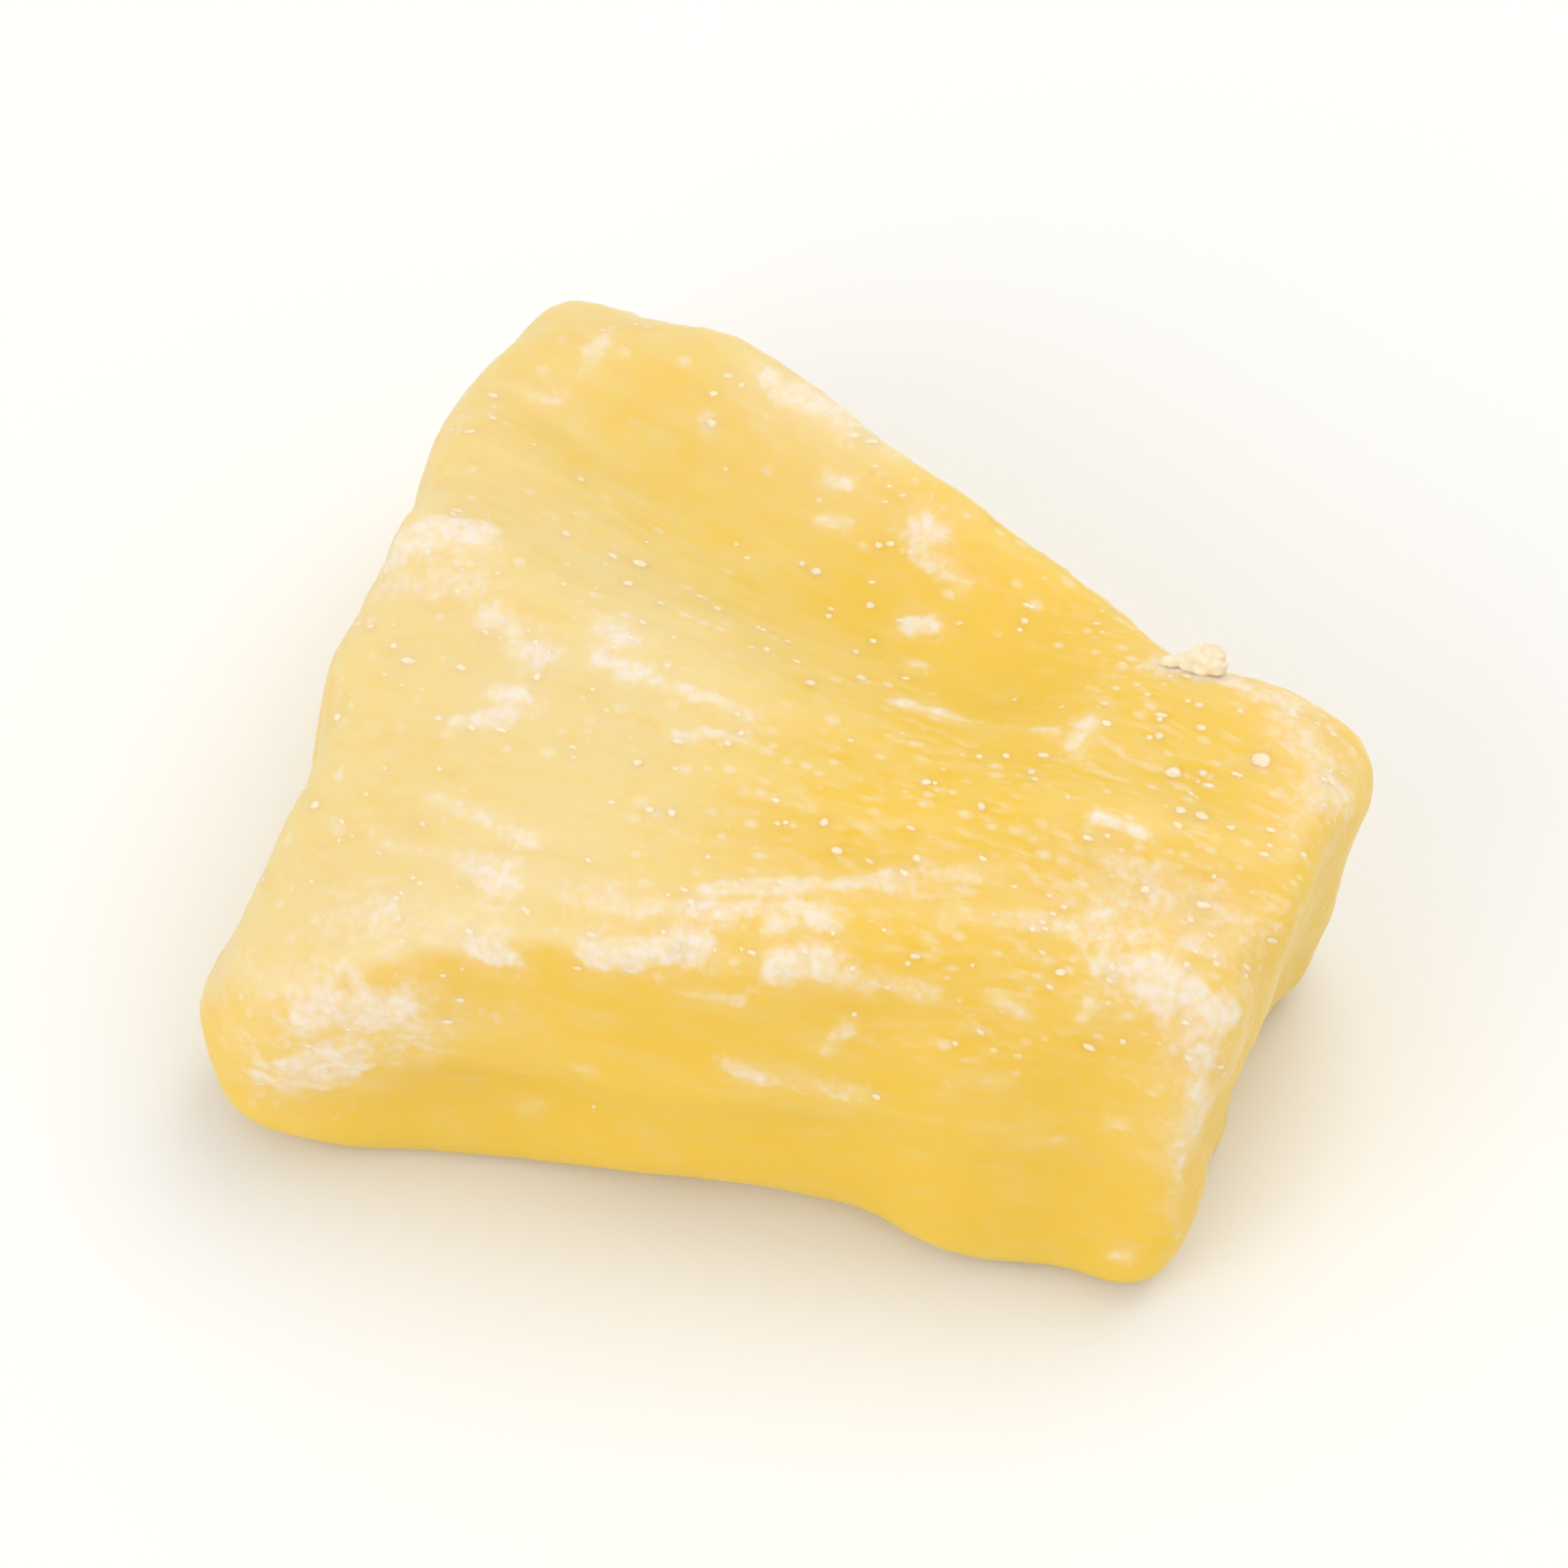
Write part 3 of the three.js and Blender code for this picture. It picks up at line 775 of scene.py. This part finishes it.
def grain_group():
    """The fine grain of sugar: a value from crystal to crystal, and the sugar's colour that follows it, from
    painted shade to pale.
    """
    name = "sugar grain"
    if name in bpy.data.node_groups:
        return bpy.data.node_groups[name]
    tree = bpy.data.node_groups.new(name, "ShaderNodeTree")
    tree.interface.new_socket("Vector", in_out="INPUT", socket_type="NodeSocketVector")
    tree.interface.new_socket("Pale", in_out="INPUT", socket_type="NodeSocketColor")
    tree.interface.new_socket("Deep", in_out="INPUT", socket_type="NodeSocketColor")
    tree.interface.new_socket("Grain", in_out="OUTPUT", socket_type="NodeSocketFloat")
    tree.interface.new_socket("Colour", in_out="OUTPUT", socket_type="NodeSocketColor")
    start = node(tree, "NodeGroupInput")
    end = node(tree, "NodeGroupOutput")
    grain = noise_node(tree, start.outputs["Vector"], GRAIN_SIZE, 1.5)
    plug(tree, grain, end.inputs["Grain"])
    pale_share = step_node(tree, grain, *GRAIN_PALES)
    # The deep colour mixed in here is painted shade between the sugar's crystals.
    colour = mix_colour(tree, pale_share, start.outputs["Deep"], start.outputs["Pale"])
    plug(tree, colour, end.inputs["Colour"])
    return tree


def sugar_grain(tree, pale, painted_shade):
    """The grain group's value and colour, on the piece's own coordinates."""
    group = node(tree, "ShaderNodeGroup", node_tree=grain_group())
    plug(tree, node(tree, "ShaderNodeTexCoord").outputs["Object"], group.inputs["Vector"])
    plug(tree, tuple(pale), group.inputs["Pale"])
    plug(tree, tuple(painted_shade), group.inputs["Deep"])
    return group.outputs["Grain"], group.outputs["Colour"]


def add_bump(tree, shader, height, strength, distance):
    bump = node(tree, "ShaderNodeBump")
    bump.inputs["Strength"].default_value = strength
    bump.inputs["Distance"].default_value = distance
    plug(tree, height, bump.inputs["Height"])
    plug(tree, bump.outputs["Normal"], shader.inputs["Normal"])


def flesh_material(settings, sugar):
    material, tree, shader = new_material("candied pineapple")
    # The sugar's deep colour is painted shade between its crystals.
    grain, sugar_colour = sugar_grain(tree, sugar.pale, sugar.painted_shade)
    fibre = node(tree, "ShaderNodeAttribute", attribute_name="fibre").outputs["Vector"]
    mottle = noise_node(tree, fibre, MOTTLE_SIZE, 1, MOTTLE_STRETCH)
    frost = value_of(tree, "frost")
    flesh_colour = candied_colour(tree, settings, sugar, fibre, mottle, frost)
    sugared = sugar_cover(tree, fibre, mottle, frost, grain)
    plug(tree, mix_colour(tree, sugared, flesh_colour, sugar_colour), shader.inputs["Base Color"])
    roughness = math_node(tree, "MULTIPLY_ADD", sugared, SUGAR_ROUGHER, FLESH_ROUGHNESS)
    plug(tree, roughness, shader.inputs["Roughness"])
    shader.inputs["Subsurface Weight"].default_value = 0.6
    shader.inputs["Subsurface Radius"].default_value = (1.0, 0.6, 0.18)
    shader.inputs["Subsurface Scale"].default_value = 2.2 * MM
    shader.inputs["IOR"].default_value = 1.42
    return material


def candied_colour(tree, settings, sugar, fibre, mottle, frost):
    """The flesh's colour, from cream to honey in streaks along the fibres, paler under frost."""
    streaks = noise_node(tree, fibre, STREAK_SIZE, 1, STREAK_STRETCH)
    clearness = math_node(tree, "MULTIPLY_ADD", streaks, STREAKS, value_of(tree, "clear"))
    clearness = math_node(tree, "MULTIPLY_ADD", mottle, MOTTLE, clearness)
    clearness = math_node(tree, "SUBTRACT", clearness, (STREAKS + MOTTLE) / 2, clamp=True)
    colour = mix_colour(tree, clearness, tuple(settings.cream), tuple(settings.honey))
    return mix_colour(tree, math_node(tree, "MULTIPLY", frost, FROST_PALES), colour, tuple(sugar.pale))


def sugar_cover(tree, fibre, mottle, frost, grain):
    """How much sugar hides the flesh: crumbly frost, soft specks and short dashes, whichever is the most."""
    flakes = value_of(tree, "flakes")
    crumbly = math_node(tree, "MULTIPLY_ADD", grain, CRUMBLES_WITH_GRAIN, frost)
    crumbly = math_node(tree, "MULTIPLY_ADD", mottle, CRUMBLES_WITH_MOTTLE, crumbly)
    frosted = math_node(tree, "MULTIPLY", step_node(tree, crumbly, *FROST_SHOWS), FROST_HIDES)
    specks = soft_specks(tree, fibre, math_node(tree, "MULTIPLY", flakes, SPECKS_PER_FLAKES))
    specks = math_node(tree, "MULTIPLY", specks, SPECKS_HIDE)
    dashes = noise_node(tree, fibre, DASH_SIZE, 1, DASH_STRETCH)
    dashes = math_node(tree, "MULTIPLY_ADD", flakes, DASHES_PER_FLAKES, dashes)
    in_patches = step_node(tree, mottle, *DASH_PATCHES)
    dashes = math_node(tree, "MULTIPLY", step_node(tree, dashes, *DASHES_SHOW), in_patches)
    dashes = math_node(tree, "MULTIPLY", dashes, step_node(tree, flakes, *DASHES_FADE_IN))
    return math_node(tree, "MAXIMUM", frosted, math_node(tree, "MAXIMUM", specks, dashes))


def sugar_material(settings):
    name = "sugar crystals"
    if name in bpy.data.materials:
        return bpy.data.materials[name]
    material, tree, shader = new_material(name)
    # The deep colour is painted shade between the crystals of loose sugar.
    grain, colour = sugar_grain(tree, settings.loose, settings.painted_shade)
    plug(tree, colour, shader.inputs["Base Color"])
    roughness = math_node(tree, "MULTIPLY_ADD", grain, CRYSTALS_VARY, CRYSTAL_ROUGHNESS)
    plug(tree, roughness, shader.inputs["Roughness"])
    add_bump(tree, shader, grain, 0.4, 0.03 * MM)
    return material


# ---------- stage ----------
class FRUIT_OT_stage(bpy.types.Operator):
    """Sets up the floor, the soft studio light and the camera at the photo's angle"""

    bl_idname = "fruit.stage"
    bl_label = "Stage"

    def execute(self, context):
        settings = context.scene.fruit_stage
        add_floor(settings)
        add_lights(context)
        add_camera(context, settings)
        context.scene.view_settings.view_transform = "Standard"
        return {"FINISHED"}


FLOOR_SIZE = 4  # metres
FLOOR_GAP = 0.01 * MM  # between the floor and the wedge's underside, so that the two don't flicker


def add_floor(settings):
    bpy.ops.object.select_all(action="DESELECT")
    bpy.ops.mesh.primitive_plane_add(size=FLOOR_SIZE, location=(0, 0, -FLOOR_GAP))
    floor = bpy.context.active_object
    floor.name = "floor"
    material, _, shader = new_material("pale floor")
    shader.inputs["Base Color"].default_value = (*settings.floor, 1)
    shader.inputs["Roughness"].default_value = 0.7
    floor.data.materials.append(material)


def add_lights(context):
    world = bpy.data.worlds.new("studio")
    world.use_nodes = True
    background = world.node_tree.nodes["Background"]
    background.inputs["Color"].default_value = (1, 0.99, 0.97, 1)
    background.inputs["Strength"].default_value = 0.73
    context.scene.world = world
    add_softbox("overhead", azimuth=160, elevation=62, distance=0.6, size=0.5, power=1.22)
    add_softbox("fill", azimuth=-20, elevation=30, distance=0.7, size=0.6, power=1.35)


def add_softbox(name, azimuth, elevation, distance, size, power):
    """A round area light that looks at the wedge: its angles in degrees, its distance and size in metres."""
    away = Vector(direction(math.radians(azimuth), math.radians(elevation)))
    bpy.ops.object.light_add(type="AREA", location=away * distance)
    lamp = bpy.context.active_object
    lamp.name = name
    lamp.rotation_mode = "QUATERNION"
    lamp.rotation_quaternion = away.to_track_quat("Z", "Y")
    lamp.data.shape = "DISK"
    lamp.data.size = size
    lamp.data.energy = power


def add_camera(context, settings):
    """Looks at the wedge's middle, from as far away as makes it take its share of the picture's width."""
    back = Vector(direction(settings.azimuth, settings.elevation))
    right = Vector((math.cos(settings.azimuth), math.sin(settings.azimuth), 0))
    axes = (right, back.cross(right), back)
    points = vertex_array(bpy.data.objects["candied_flesh"].data)
    spans = [points @ np.array(axis) for axis in axes]
    middle = sum((axis * float((s.min() + s.max()) / 2) for axis, s in zip(axes, spans)), Vector())
    width = float(spans[0].max() - spans[0].min()) / settings.fill
    bpy.ops.object.camera_add()
    camera = bpy.context.active_object
    camera.name = "camera"
    camera.data.lens = settings.lens
    camera.data.clip_start = 10 * MM
    camera.data.clip_end = 10
    distance = width * settings.lens / camera.data.sensor_width
    camera.rotation_mode = "QUATERNION"
    camera.location = middle + back * distance
    camera.rotation_quaternion = back.to_track_quat("Z", "Y")
    context.scene.camera = camera


# ---------- panel and run ----------
class FRUIT_PT_tools(bpy.types.Panel):
    """Lists the steps that dress the wedge"""

    bl_label = "Dried Pineapple"
    bl_idname = "FRUIT_PT_tools"
    bl_space_type = "VIEW_3D"
    bl_region_type = "UI"
    bl_category = "Dried Fruit"

    def draw(self, context):
        for operator in OPERATORS:
            self.layout.operator(operator.bl_idname)
        for group in SETTINGS:
            column = self.layout.column()
            for name in SETTINGS[group].__annotations__:
                column.prop(getattr(context.scene, group), name)


OPERATORS = (FRUIT_OT_flesh, FRUIT_OT_flakes, FRUIT_OT_crumbs, FRUIT_OT_stage)
SETTINGS = {"fruit_flesh": FleshSettings, "fruit_sugar": SugarSettings, "fruit_stage": StageSettings}


def register():
    for cls in (*SETTINGS.values(), *OPERATORS, FRUIT_PT_tools):
        bpy.utils.register_class(cls)
    for name, cls in SETTINGS.items():
        setattr(bpy.types.Scene, name, bpy.props.PointerProperty(type=cls))


def unregister():
    for name in SETTINGS:
        delattr(bpy.types.Scene, name)
    for cls in (FRUIT_PT_tools, *reversed(OPERATORS), *SETTINGS.values()):
        bpy.utils.unregister_class(cls)


def main():
    register()
    bpy.ops.fruit.flesh()
    bpy.ops.fruit.flakes()
    bpy.ops.fruit.crumbs()
    bpy.ops.fruit.stage()


if __name__ == "__main__":
    main()
